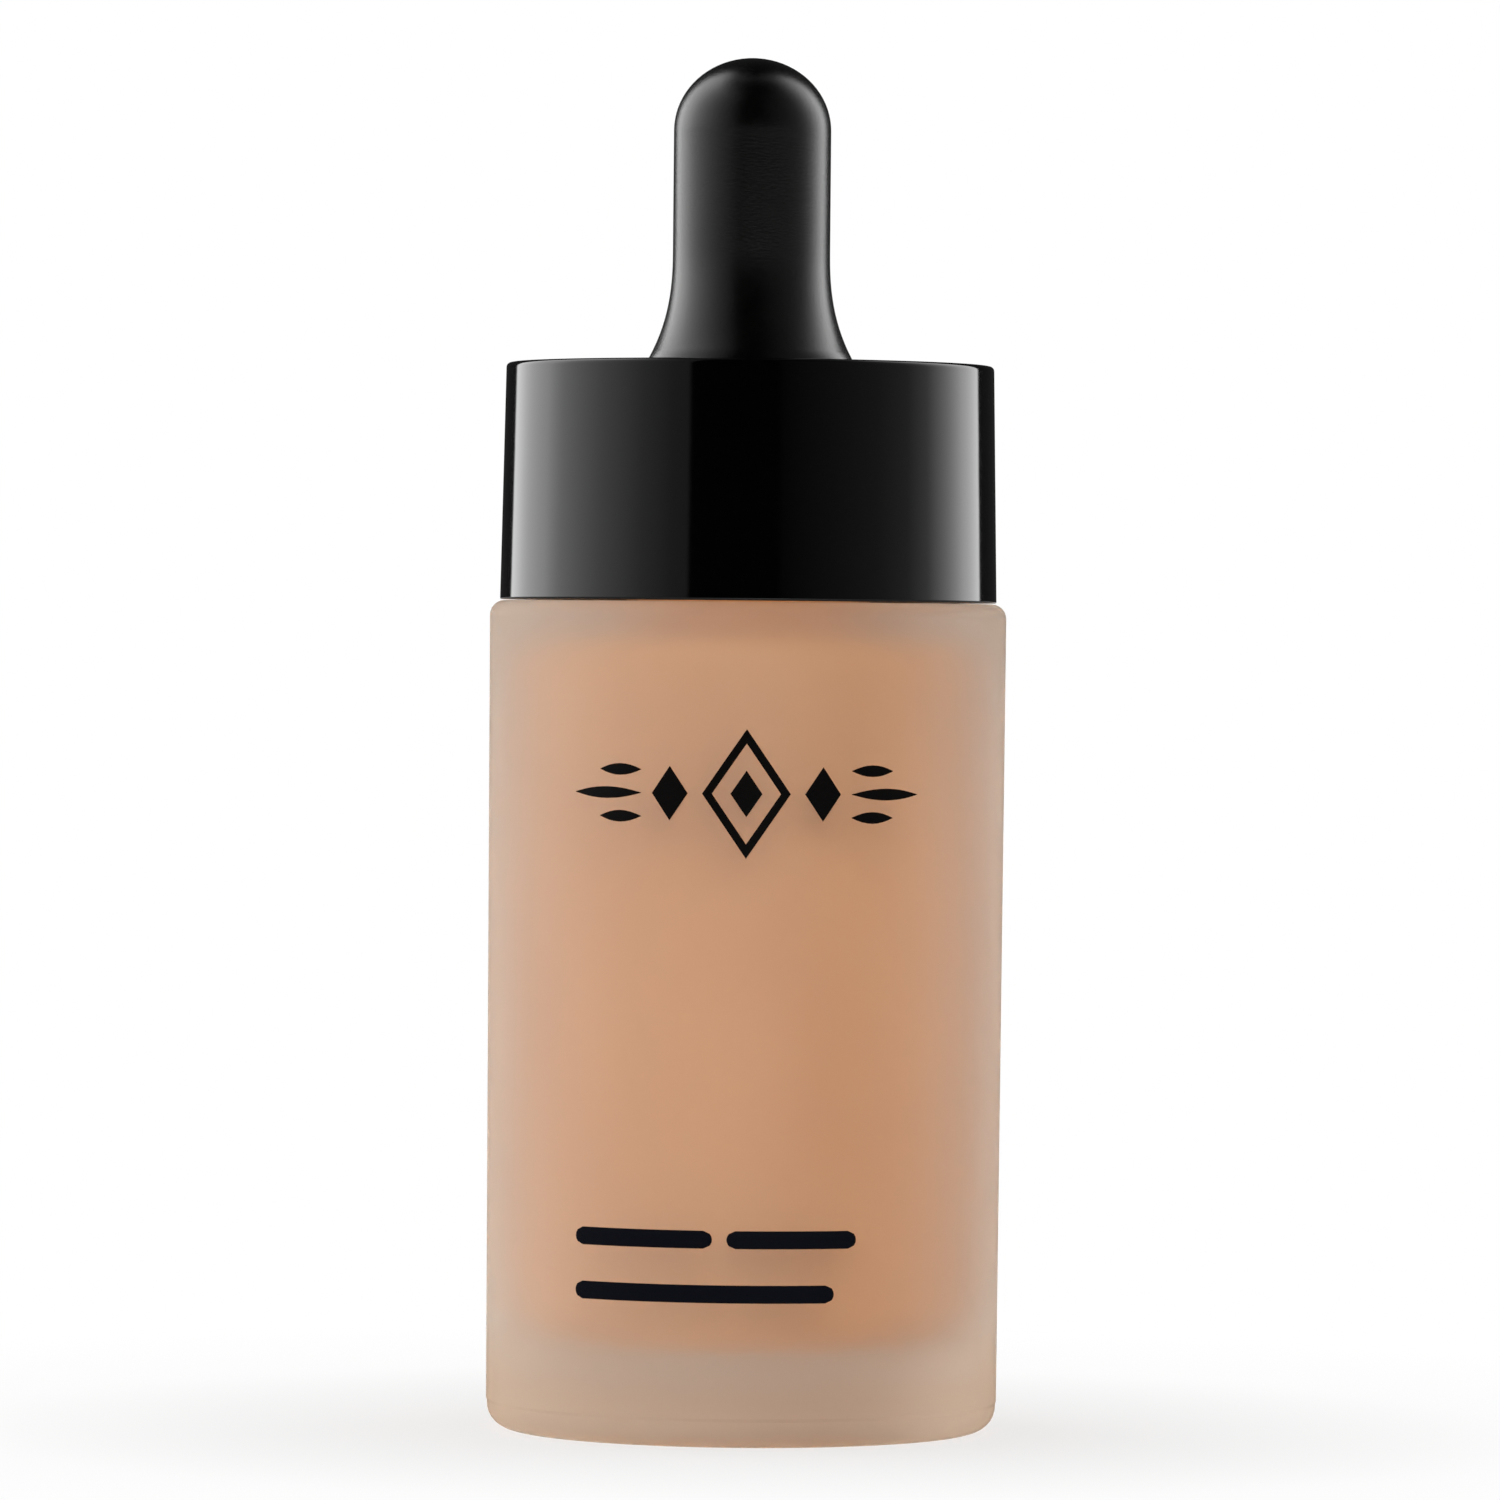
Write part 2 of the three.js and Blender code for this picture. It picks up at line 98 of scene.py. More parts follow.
class GlassSizes(bpy.types.PropertyGroup):
    base_radius: length("Base radius", "Outside radius just above the foot", 19.0)
    flare: length("Flare", "How much the radius grows from foot to shoulder", 0.22)
    height: length("Height", "Base to shoulder", 61.55)
    foot_rounding: length("Foot rounding", "Rounding between side and base", 1.85)
    shoulder_rounding: length("Shoulder rounding", "Rounding between side and shoulder", 1.1)
    parting_step: length("Parting step", "Step where the mould's base plate met its sides", 0.07)
    wall: length("Wall", "Thickness of the side wall", 4.85)
    floor: length("Floor", "Thickness of the base", 6.6)
    shoulder: length("Shoulder", "Thickness of the glass over the contents", 2.4)
    floor_rounding: length("Floor rounding", "Rounding inside, where the wall meets the base", 3.2)
    top_rounding: length("Top rounding", "Rounding inside, where the wall meets the shoulder", 2.0)
    push_up: length("Push-up", "Depth of the hollow under the base", 0.7)
    foot_width: length("Foot width", "Width of the ring that the bottle stands on", 2.2)
    neck_radius: length("Neck radius", "Outside radius of the neck at the root of its thread", 8.5)
    neck_bore: length("Neck bore", "Inside radius of the neck", 6.2)
    neck_edge: length("Neck edge", "Rounding where the cavity opens into the neck", 0.9)
    bead_reach: length("Bead reach", "How far the bead below the thread stands out", 0.72)
    bead_lift: length("Bead lift", "Shoulder to bead", 1.6)
    bead_height: length("Bead height", "Height of the bead", 1.5)


class ThreadSizes(bpy.types.PropertyGroup):
    pitch: length("Pitch", "Rise of the thread in one turn", 3.175)
    turns: bpy.props.FloatProperty(name="Turns", description="Turns of the thread", default=1.25, min=0)
    width: length("Width", "Width of the thread at its root", 1.3)
    neck_depth: length("Neck depth", "How far the neck's thread stands out", 0.75)
    cap_depth: length("Cap depth", "How far the cap's thread stands in", 0.6)
    crest_gap: length("Crest gap", "Between the crests of the two threads", 0.15)
    drop: length("Drop", "Rim to the upper end of the neck's thread", 2.55)
    run_out: bpy.props.FloatProperty(
        name="Run-out",
        description="Angle over which a thread fades",
        default=math.radians(30),
        subtype="ANGLE",
    )


class DropperSizes(bpy.types.PropertyGroup):
    bulb_radius: length("Bulb radius", "Outside radius of the straight part of the bulb", 5.85)
    bulb_dome: length("Bulb dome", "Height of the bulb's domed end", 5.4)
    bulb_wall: length("Bulb wall", "Thickness of the rubber", 1.45)
    skirt_reach: length("Skirt reach", "How far the foot of the bulb flares out", 1.74)
    skirt_height: length("Skirt height", "Height of the flare", 8.4)
    skirt_lip: length("Skirt lip", "Upright edge at the foot of the flare", 0.35)
    waist_radius: length("Waist radius", "Part of the bulb that passes through the cap", 5.2)
    flange: length("Flange", "Thickness of the bulb's flange", 1.2)
    pipette_radius: length("Pipette radius", "Outside radius of the glass tube", 3.5)
    pipette_wall: length("Pipette wall", "Thickness of the glass tube", 0.9)
    bead_reach: length("Bead reach", "How far the tube's rounded top stands out", 0.45)
    bead_height: length("Bead height", "Height of the tube's rounded top", 1.2)
    tip_radius: length("Tip radius", "Outside radius of the tip", 1.6)
    tip_bore: length("Tip bore", "Inside radius of the tip", 0.8)
    tip_length: length("Tip length", "Straight part of the tip", 2.4)
    taper: length("Taper", "Height of the cone above the tip", 9.0)
    wiper_wall: length("Wiper wall", "Thickness of the neck wiper's sleeve", 0.8)
    wiper_lip: length("Wiper lip", "Thickness of the wiping lip", 0.7)
    wiper_cone: length("Wiper cone", "Height of the cone that ends in the lip", 3.2)
    wiper_gap: length("Wiper gap", "Lip to pipette", 0.25)
    washer_gap: length("Washer gap", "Washer to pipette", 0.4)


class CapSizes(bpy.types.PropertyGroup):
    draft: length("Draft", "How much narrower the shell is at its top", 0.33)
    shell_wall: length("Shell wall", "Thickness of the outer shell", 1.35)
    shell_plate: length("Shell plate", "Thickness of the outer shell's top", 1.2)
    top_rounding: length("Top rounding", "Rounding of the shell's top edge", 0.35)
    edge_rounding: length("Edge rounding", "Rounding of the shell's lower edge", 0.1)
    hole_gap: length("Hole gap", "Bulb's waist to the hole it passes through", 0.3)
    snap_reach: length("Snap reach", "How far the bead inside the shell stands in", 0.5)
    snap_height: length("Snap height", "Height of that bead", 1.3)
    rib_lift: length("Rib lift", "Shoulder to the lower ends of the ribs", 2.4)
    rib_inset: length("Rib inset", "Edge of the plate to the ribs", 0.25)
    rib_width: length("Rib width", "Thickness of a rib of the inner cap", 1.1)
    ribs: bpy.props.IntProperty(name="Ribs", description="Ribs round the inner cap", default=12, min=3)
    skirt_wall: length("Skirt wall", "Thickness of the inner cap's skirt", 1.6)
    plate: length("Plate", "Thickness of the inner cap's top", 1.35)
    seat_gap: length("Seat gap", "Between pieces that rest on each other", 0.06)


class PrintSizes(bpy.types.PropertyGroup):
    film: length("Film", "Thickness of the ink", 0.04)
    emblem_height: length("Emblem height", "Base to the middle of the emblem", 47.6)
    lozenge_width: length("Lozenge width", "Width of the middle lozenge", 6.4)
    lozenge_height: length("Lozenge height", "Height of the middle lozenge", 9.4)
    lozenge_pitch: length("Lozenge pitch", "Middle lozenge to the small ones beside it", 5.6)
    rule_start: length("Rule start", "Centre line to the near ends of the rules", 7.8)
    rule_length: length("Rule length", "Length of the longest rule", 5.6)
    rule_pitch: length("Rule pitch", "From one rule to the next", 1.7)
    rule_width: length("Rule width", "Width of a rule at its middle", 0.85)
    bar_left: length("Bar left", "Centre line to the left ends of the bars", 13.1)
    bar_width: length("Bar width", "Height of a bar", 1.3)
    bar_height: length("Bar height", "Base to the lower row of bars", 11.3)
    bar_pitch: length("Bar pitch", "From one row of bars to the next", 3.95)


class Colours(bpy.types.PropertyGroup):
    frost: colour("Frost", "Etched glass", (0.95, 0.90, 0.82))
    # painted colour: a tan tint in the etched base, standing in for the foundation's light seen through
    # the thick glass
    painted_base_tint: colour("Base frost", "Etched base, tinted by the foundation", (0.88, 0.75, 0.61))
    frost_shade: colour("Frost shade", "Lamp light that has crossed etched glass", (0.86, 0.86, 0.85))
    clear: colour("Clear", "Clear glass", (0.97, 0.985, 0.98))
    clear_shade: colour("Clear shade", "Lamp light that has crossed clear glass", (0.95, 0.96, 0.955))
    cream: colour("Cream", "Foundation", (0.86, 0.45, 0.20))
    # painted glow: the foundation's top shines by itself, in place of light that the glass carries up to
    # the shoulder
    painted_cream_glow: colour("Cream glow", "Light that the glass carries to its top", (0.20, 0.095, 0.04))
    cream_deep: colour("Deep cream", "Foundation where its pigment gathers", (0.80, 0.40, 0.172))
    gloss_black: colour("Gloss black", "Outer shell", (0.0007, 0.0007, 0.0008))
    moulded_black: colour("Moulded black", "Inner cap", (0.012, 0.012, 0.013))
    rubber: colour("Rubber", "Bulb", (0.0007, 0.0007, 0.0007))
    rubber_bloom: colour("Rubber bloom", "Bloom and dust in the rubber's grain", (0.006, 0.0057, 0.0055))
    wax: colour("Wax", "Neck wiper", (0.80, 0.80, 0.76))
    foam: colour("Foam", "Sealing washer", (0.78, 0.77, 0.72))
    ink: colour("Ink", "Emblem", (0.0022, 0.0016, 0.0015))
    ink_blue: colour("Blue ink", "Bars", (0.0016, 0.0022, 0.0062))
    paper: colour("Floor", "Studio floor", (0.9, 0.9, 0.895))


class BottleSettings(bpy.types.PropertyGroup):
    glass: bpy.props.PointerProperty(type=GlassSizes)
    thread: bpy.props.PointerProperty(type=ThreadSizes)
    dropper: bpy.props.PointerProperty(type=DropperSizes)
    cap: bpy.props.PointerProperty(type=CapSizes)
    ink: bpy.props.PointerProperty(type=PrintSizes)
    colours: bpy.props.PointerProperty(type=Colours)


# ---------------------------------------------------------------- shader expressions


class Socket:
    """One output of a shader node. Arithmetic on it adds Math nodes."""

    def __init__(self, tree, output):
        self.tree = tree
        self.output = output

    def math(self, operation, *operands):
        return self.tree.node("ShaderNodeMath", {"operation": operation}, dict(enumerate(operands)))

    def __add__(self, other):
        return self.math("ADD", self, other)

    __radd__ = __add__

    def __sub__(self, other):
        return self.math("SUBTRACT", self, other)

    def __rsub__(self, other):
        return self.math("SUBTRACT", other, self)

    def __mul__(self, other):
        return self.math("MULTIPLY", self, other)

    __rmul__ = __mul__

    def __truediv__(self, other):
        return self.math("DIVIDE", self, other)

    def __neg__(self):
        return self.math("MULTIPLY", self, -1)


class Tree:
    """The nodes of one material, or of the world."""

    def __init__(self, owner):
        owner.use_nodes = True
        self.nodes = owner.node_tree.nodes
        self.links = owner.node_tree.links
        self.nodes.clear()

    def node(self, kind, settings=None, inputs=None, output=0):
        node = self.nodes.new(kind)
        for name, value in (settings or {}).items():
            if name == "stops":
                self.set_stops(node.color_ramp, value)
            else:
                setattr(node, name, value)
        for name, value in (inputs or {}).items():
            if isinstance(value, Socket):
                self.links.new(value.output, node.inputs[name])
            else:
                node.inputs[name].default_value = value
        return Socket(self, node.outputs[output]) if len(node.outputs) else None

    @staticmethod
    def set_stops(ramp, stops):
        while len(ramp.elements) < len(stops):
            ramp.elements.new(1)
        for element, (position, value) in zip(ramp.elements, stops):
            element.position = position
            element.color = (value, value, value, 1)

    def coordinates(self):
        return self.node("ShaderNodeTexCoord", output="Object")

    def height(self):
        return self.node("ShaderNodeSeparateXYZ", inputs={0: self.coordinates()}, output="Z")

    def noise(self, scale, detail=2, roughness=0.5, stretch=(1, 1, 1)):
        placed = self.node("ShaderNodeMapping", inputs={"Vector": self.coordinates(), "Scale": stretch})
        inputs = {"Vector": placed, "Scale": scale, "Detail": detail, "Roughness": roughness}
        return self.node("ShaderNodeTexNoise", inputs=inputs)

    def ramp(self, value, *stops):
        return self.node("ShaderNodeValToRGB", {"stops": stops}, {"Fac": value})

    def mix(self, share, first, second):
        inputs = {"Factor": share, "A": opaque(first), "B": opaque(second)}
        return self.node("ShaderNodeMix", {"data_type": "RGBA"}, inputs, output="Result")

    def bump(self, height, strength, distance):
        inputs = {"Height": height, "Strength": strength, "Distance": distance}
        return self.node("ShaderNodeBump", inputs=inputs, output="Normal")

    def principled(self, **inputs):
        named = {name.replace("_", " "): value for name, value in inputs.items()}
        return self.node("ShaderNodeBsdfPrincipled", inputs=named, output="BSDF")

    def lets_lamps_through(self, shader, tint):
        """The shader, with lamps' light passing straight through what it covers."""
        seen_by_lamp = self.node("ShaderNodeLightPath", output="Is Shadow Ray")
        clear = self.node("ShaderNodeBsdfTransparent", inputs={"Color": opaque(tint)})
        return self.node("ShaderNodeMixShader", inputs={0: seen_by_lamp, 1: shader, 2: clear})

    def surface(self, shader):
        self.node("ShaderNodeOutputMaterial", inputs={"Surface": shader})

    def solid(self, **inputs):
        """A surface that lets no light through."""
        self.surface(self.principled(**inputs))


def opaque(rgb):
    return (*rgb, 1)


def new_material(name):
    material = bpy.data.materials.new(name)
    return material, Tree(material)


# ---------------------------------------------------------------- finishes


def frosted_glass(colours):
    """Glass etched to a satin: finer over the contents, and duller where it turns away."""
    material, tree = new_material("frosted_glass")
    etch = tree.noise(9000, detail=3)
    cloud = tree.noise(60, detail=3)
    above_base = tree.ramp(tree.height() * CENTIMETRES, (0.35, 0), (0.85, 1))
    below_shoulder = tree.ramp(tree.height() * DECIMETRES, (0.565, 1), (0.595, 0))
    facing = tree.node("ShaderNodeLayerWeight", inputs={"Blend": 0.5}, output="Facing")
    satin = 0.66 - 0.16 * above_base * below_shoulder + 0.05 * cloud
    # the base glass gets a painted tan tint below 3.5 mm, fading out by 8.5 mm, in place of the
    # foundation's light carried down through it
    shader = tree.principled(
        Base_Color=tree.mix(above_base, colours.painted_base_tint, colours.frost),
        Roughness=satin + 0.42 * facing * facing,
        IOR=1.5,
        Transmission_Weight=0.86,
        Normal=tree.bump(etch, 0.10, 0.00004),
    )
    tree.surface(tree.lets_lamps_through(shader, colours.frost_shade))
    return material


def polished_glass(colours, name="polished_glass"):
    material, tree = new_material(name)
    ripple = tree.noise(220, detail=1)
    shader = tree.principled(
        Base_Color=opaque(colours.clear),
        Roughness=0.02 + 0.03 * ripple,
        IOR=1.5,
        Transmission_Weight=1.0,
        Normal=tree.bump(ripple, 0.05, 0.0002),
    )
    tree.surface(tree.lets_lamps_through(shader, colours.clear_shade))
    return material


def foundation_cream(colours):
    """Foundation with faint swirls of pigment, and a painted glow at its top in place of light carried by
    the glass round it.
    """
    material, tree = new_material("foundation_cream")
    swirl = tree.noise(90, detail=4, roughness=0.6, stretch=(1, 1, 0.45))
    pigment = tree.noise(2600, detail=2)
    share = tree.ramp(swirl * 0.8 + pigment * 0.2, (0.38, 0), (0.66, 1))
    # painted glow: emission from the shoulder up the neck film, standing in for light that the glass
    # carries there
    painted_glow_band = tree.ramp(tree.height() * DECIMETRES, (0.572, 0), (0.592, 1), (0.65, 1), (0.66, 0))
    tree.solid(
        Base_Color=tree.mix(share, colours.cream, colours.cream_deep),
        Emission_Color=tree.mix(painted_glow_band, (0, 0, 0), colours.painted_cream_glow),
        Emission_Strength=1.0,
        Roughness=0.3 + 0.12 * swirl,
        IOR=1.42,
        Normal=tree.bump(swirl, 0.15, 0.0003),
    )
    return material


def gloss_black_plastic(colours):
    material, tree = new_material("gloss_black_plastic")
    peel = tree.noise(420, detail=2)
    haze = tree.noise(1500, detail=3)
    tree.solid(
        Base_Color=opaque(colours.gloss_black),
        Roughness=0.045 + 0.05 * haze,
        IOR=1.5,
        Normal=tree.bump(peel, 0.03, 0.0001),
    )
    return material


def moulded_polypropylene(colours):
    material, tree = new_material("moulded_polypropylene")
    grain = tree.noise(3200, detail=3)
    tree.solid(
        Base_Color=tree.mix(grain, colours.moulded_black, [2 * c for c in colours.moulded_black]),
        Roughness=0.36 + 0.12 * grain,
        Normal=tree.bump(grain, 0.12, 0.00006),
    )
    return material


def matt_rubber(colours):
    """Rubber with a fine moulded grain and a little bloom caught in it."""
    material, tree = new_material("matt_rubber")
    grain = tree.noise(5200, detail=4, roughness=0.7)
    patch = tree.noise(420, detail=3)
    specks = tree.ramp(tree.noise(3600, detail=1), (0.66, 0), (0.74, 1))
    bloom = tree.ramp(grain * 0.6 + patch * 0.4, (0.48, 0), (0.66, 0.55))
    share = tree.node("ShaderNodeMath", {"operation": "MAXIMUM"}, {0: bloom, 1: specks * patch})
    tree.solid(
        Base_Color=tree.mix(share, colours.rubber, colours.rubber_bloom),
        Roughness=0.19 + 0.11 * grain,
        IOR=1.56,
        Normal=tree.bump(grain, 0.22, 0.00006),
    )
    return material


def waxy_polyethylene(colours):
    material, tree = new_material("waxy_polyethylene")
    grain = tree.noise(1800, detail=2)
    tree.solid(
        Base_Color=tree.mix(grain, colours.wax, [0.92 * c for c in colours.wax]),
        Roughness=0.34 + 0.14 * grain,
        Subsurface_Weight=0.35,
        Subsurface_Radius=(0.0012, 0.0011, 0.0009),
        Subsurface_Scale=1.0,
        Normal=tree.bump(grain, 0.1, 0.00005),
    )
    return material


def closed_cell_foam(colours):
    material, tree = new_material("closed_cell_foam")
    inputs = {"Vector": tree.coordinates(), "Scale": 4200}
    cells = tree.node("ShaderNodeTexVoronoi", inputs=inputs, output="Distance")
    tree.solid(
        Base_Color=tree.mix(cells, [0.86 * c for c in colours.foam], colours.foam),
        Roughness=0.72 + 0.15 * cells,
        Normal=tree.bump(cells, 0.5, 0.00008),
    )
    return material


def screen_ink(name, rgb):
    material, tree = new_material(name)
    mesh_marks = tree.noise(4200, detail=2)
    tree.solid(
        Base_Color=tree.mix(mesh_marks, rgb, [1.6 * c for c in rgb]),
        Roughness=0.12 + 0.08 * mesh_marks,
        IOR=1.22,
        Normal=tree.bump(mesh_marks, 0.1, 0.00002),
    )
    return material


# ---------------------------------------------------------------- shape helpers


def bevel(bm, geom, offset, affect, segments):
    bmesh.ops.bevel(
        bm,
        geom=geom,
        offset=offset,
        offset_type="OFFSET",
        affect=affect,
        segments=segments,
        profile=0.5,
        material=-1,
    )


def draw_outline(bm, corners, closed=False):
    """Edges in the XZ plane through corners (radius, height, rounding), with each rounding as an arc."""
    corners = [(*corner, 0)[:3] for corner in corners]
    points = [Vector((radius, 0, height)) for radius, height, _ in corners]
    verts = [bm.verts.new(point) for point in points]
    for first, second in zip(verts, verts[1:] + (verts[:1] if closed else [])):
        bm.edges.new((first, second))
    for i, (_, _, rounding) in enumerate(corners):
        if not rounding:
            continue
        before = points[i - 1] - points[i]
        after = points[(i + 1) % len(points)] - points[i]
        reach = rounding / math.tan(before.angle(after) / 2)
        bevel(bm, [verts[i]], reach, "VERTICES", ARC_STEPS + int(rounding / ARC_FACET))


def hold_straights(bm):
    """Cuts long edges near both ends, so that shading stays even between roundings."""
    for edge in bm.edges[:]:
        if edge.calc_length() < 6 * HOLD:
            continue
        for end in list(edge.verts):
            bmesh.utils.edge_split(edge, end, HOLD / edge.calc_length())


def turn(bm):
    """Spins what has been drawn into a closed solid about Z."""
    hold_straights(bm)
    bmesh.ops.spin(
        bm,
        geom=bm.verts[:] + bm.edges[:],
        cent=(0, 0, 0),
        axis=(0, 0, 1),
        angle=math.tau,
        steps=TURN_STEPS,
        use_merge=True,
    )
    bmesh.ops.remove_doubles(bm, verts=bm.verts[:], dist=FINE)
    bmesh.ops.recalc_face_normals(bm, faces=bm.faces[:])


def turned(corners, closed=False):
    bm = bmesh.new()
    draw_outline(bm, corners, closed)
    turn(bm)
    return bm


def upright_rings(bm, radius, low, high, count):
    """Cuts an upright stretch of the outline into short edges, for a thread to be raised on."""
    upright = [
        edge
        for edge in bm.edges
        if all(abs(v.co.x - radius) < FINE and low - FINE < v.co.z < high + FINE for v in edge.verts)
    ]
    longest = max(upright, key=lambda edge: edge.calc_length())
    bmesh.ops.subdivide_edges(bm, edges=[longest], cuts=count)


def thread_lift(thread, middle, angle, height):
    """How far a thread stands up at a place, from 0 to 1."""
    lift = 0
    for lap in range(math.ceil(thread.turns) + 1):
        along = angle / math.tau + lap
        if not 0 <= along <= thread.turns:
            continue
        offset = abs(height - middle - thread.pitch * (along - thread.turns / 2))
        flank = min(1, max(0, (thread.width / 2 - offset) / (FLANK * thread.width)))
        ends = min(1, min(along, thread.turns - along) * math.tau / thread.run_out)
        lift = max(lift, flank * flank * (3 - 2 * flank) * ends)
    return lift


def raise_thread(bm, thread, root, depth, middle):
    """Raises a thread on the upright wall at the root radius, inwards where the depth is negative."""
    for vert in bm.verts:
        if abs(vert.co.xy.length - root) > ON_WALL:
            continue
        angle = math.atan2(vert.co.y, vert.co.x) % math.tau
        lift = thread_lift(thread, middle, angle, vert.co.z)
        vert.co.xy *= (root + depth * lift) / root


def place_piece(bm, name, body, slot, node, *materials):
    """Makes the mesh an object that rides on a body and, where a CAD node is given, stands for it."""
    for face in bm.faces:
        face.smooth = True
    for edge in bm.edges:
        edge.smooth = edge.calc_face_angle(0) < CREASE
    mesh = bpy.data.meshes.new(name)
    bm.to_mesh(mesh)
    bm.free()
    for material in materials:
        mesh.materials.append(material)
    piece = bpy.data.objects.new(name, mesh)
    bpy.context.scene.collection.objects.link(piece)
    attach(piece, body)
    if node:
        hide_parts(node)


def thread_middle(thread):
    return GLASS_BOX[1].z - thread.drop - thread.pitch * thread.turns / 2


# ---------------------------------------------------------------- pieces


class BOTTLE_OT_glass(bpy.types.Operator):
    """Frosted glass bottle with its threaded neck"""

    bl_idname = "bottle.glass"
    bl_label = "Glass Bottle"

    RINGS = 60  # up the neck, for the thread

    def execute(self, context):
        settings = context.scene.bottle
        glass, thread = settings.glass, settings.thread
        rim = GLASS_BOX[1].z
        foot = glass.base_radius - glass.foot_rounding - glass.foot_width
        cavity = glass.base_radius - glass.wall
        cavity_top = glass.height - glass.shoulder
        bead = glass.height + glass.bead_lift
        bead_radius = glass.neck_radius + glass.bead_reach
        lean = glass.bead_reach / 2
        step = glass.parting_step
        outline = [
            (0, glass.push_up + 0.3 * MM),
            (foot - 4 * MM, glass.push_up, 8 * MM),
            (foot - glass.push_up, glass.push_up, 0.5 * MM),
            (foot, 0, 0.3 * MM),
            (glass.base_radius - step, 0, glass.foot_rounding),
            (glass.base_radius - step, glass.foot_rounding + 0.15 * MM, 0.1 * MM),
            (glass.base_radius, glass.foot_rounding + 0.4 * MM, 0.1 * MM),
            (glass.base_radius + glass.flare, glass.height, glass.shoulder_rounding),
            (glass.neck_radius, glass.height, 0.9 * MM),
            (glass.neck_radius, bead, 0.3 * MM),
            (bead_radius, bead + lean, 0.25 * MM),
            (bead_radius, bead + glass.bead_height - lean, 0.25 * MM),
            (glass.neck_radius, bead + glass.bead_height, 0.3 * MM),
            (glass.neck_radius, rim, 0.6 * MM),
            (glass.neck_bore, rim, 0.5 * MM),
            (glass.neck_bore, cavity_top, glass.neck_edge),
            (cavity, cavity_top, glass.top_rounding),
            (cavity, glass.floor, glass.floor_rounding),
            (0, glass.floor),
        ]
        bm = bmesh.new()
        draw_outline(bm, outline)
        upright_rings(bm, glass.neck_radius, bead, rim, self.RINGS)
        turn(bm)
        raise_thread(bm, thread, glass.neck_radius, thread.neck_depth, thread_middle(thread))
        for face in bm.faces:
            face.material_index = int(self.is_inside(face, glass, rim))
        etched = frosted_glass(settings.colours)
        polished = polished_glass(settings.colours)
        place_piece(bm, "bottle_glass", "bottle", "frosted_glass", "glass_bottle", etched, polished)
        return {"FINISHED"}

    @staticmethod
    def is_inside(face, glass, rim):
        """Whether a face is in the cavity or the bore, which stay polished, clear of the edges."""
        centre = face.calc_center_median()
        away = centre.xy.length
        if not glass.push_up + 1 * MM < centre.z < rim - 0.5 * MM:
            return False
        if centre.z > glass.height + 0.2 * MM and away > glass.neck_bore + 0.6 * MM:
            return False
        return away < glass.base_radius - glass.wall or face.normal.xy.dot(centre.xy) < 0


class BOTTLE_OT_contents(bpy.types.Operator):
    """Foundation in the bottle and in the pipette"""

    bl_idname = "bottle.contents"
    bl_label = "Foundation"

    def execute(self, context):
        settings = context.scene.bottle
        glass, dropper = settings.glass, settings.dropper
        cream = foundation_cream(settings.colours)
        wets = 0.03 * MM  # the cream wets the glass, so it reaches just past its inner face
        radius = glass.base_radius - glass.wall + wets
        ceiling = glass.height - glass.shoulder + wets
        neck = glass.neck_bore + wets
        film = 0.12 * MM  # what clings inside the neck, up to the wiper
        film_top = WIPER_BOX[0].z + 0.4 * MM
        level = FILL_BOX[1].z
        pocket = dropper.pipette_radius + 0.4 * MM  # the well that the pipette stands in
        pocket_floor = PIPETTE_BOX[0].z - 0.5 * MM
        outline = [
            (0, glass.floor - wets),
            (radius, glass.floor - wets, glass.floor_rounding),
            (radius, ceiling, glass.top_rounding),
            (neck, ceiling, glass.neck_edge),
            (neck, film_top),
            (neck - film, film_top),
            (neck - film, level, 0.4 * MM),
            (pocket + 0.5 * MM, level, 0.3 * MM),
            (pocket, level - 0.5 * MM, 0.3 * MM),
            (pocket, pocket_floor, 0.4 * MM),
            (0, pocket_floor),
        ]
        body = turned(outline)
        place_piece(body, "foundation", "bottle", "foundation", "foundation_fill", cream)
        tip, top = PIPETTE_FILL_BOX
        cone = PIPETTE_BOX[0].z + dropper.tip_length
        straight = cone + dropper.taper
        bore = dropper.pipette_radius - dropper.pipette_wall + wets
        outline = [
            (0, tip.z),
            (dropper.tip_bore + wets, tip.z, 0.2 * MM),
            (dropper.tip_bore + wets, cone, 2 * MM),
            (bore, straight, 4 * MM),
            (bore, top.z),
            (bore - 0.5 * MM, top.z - 0.35 * MM, 0.6 * MM),
            (0, top.z - 0.5 * MM),
        ]
        column = turned(outline)
        place_piece(column, "foundation_in_pipette", "dropper", "foundation", "pipette_fill", cream)
        return {"FINISHED"}


class BOTTLE_OT_wiper(bpy.types.Operator):
    """Soft wiper pressed into the neck"""

    bl_idname = "bottle.wiper"
    bl_label = "Neck Wiper"

    def execute(self, context):
        settings = context.scene.bottle
        dropper = settings.dropper
        low, high = WIPER_BOX
        sleeve = low.z + 0.9 * MM
        seat = GLASS_BOX[1].z + settings.cap.seat_gap
        outer = settings.glass.neck_bore - settings.cap.seat_gap
        inner = outer - dropper.wiper_wall
        lip = dropper.pipette_radius + dropper.wiper_gap
        cone = low.z + dropper.wiper_cone
        outline = [
            (outer, sleeve, 0.3 * MM),
            (outer, seat, 0.1 * MM),
            (high.x, seat, 0.2 * MM),
            (high.x, high.z, 0.3 * MM),
            (inner, high.z, 0.4 * MM),
            (inner, cone + dropper.wiper_lip, 1.0 * MM),
            (lip, low.z + dropper.wiper_lip, 0.15 * MM),
            (lip, low.z, 0.1 * MM),
            (lip + dropper.wiper_lip, low.z, 0.2 * MM),
            (inner - 0.2 * MM, sleeve, 0.2 * MM),
        ]
        bm = turned(outline, closed=True)
        wax = waxy_polyethylene(settings.colours)
        place_piece(bm, "wiper", "bottle", "white_polyethylene", "neck_wiper", wax)
        return {"FINISHED"}


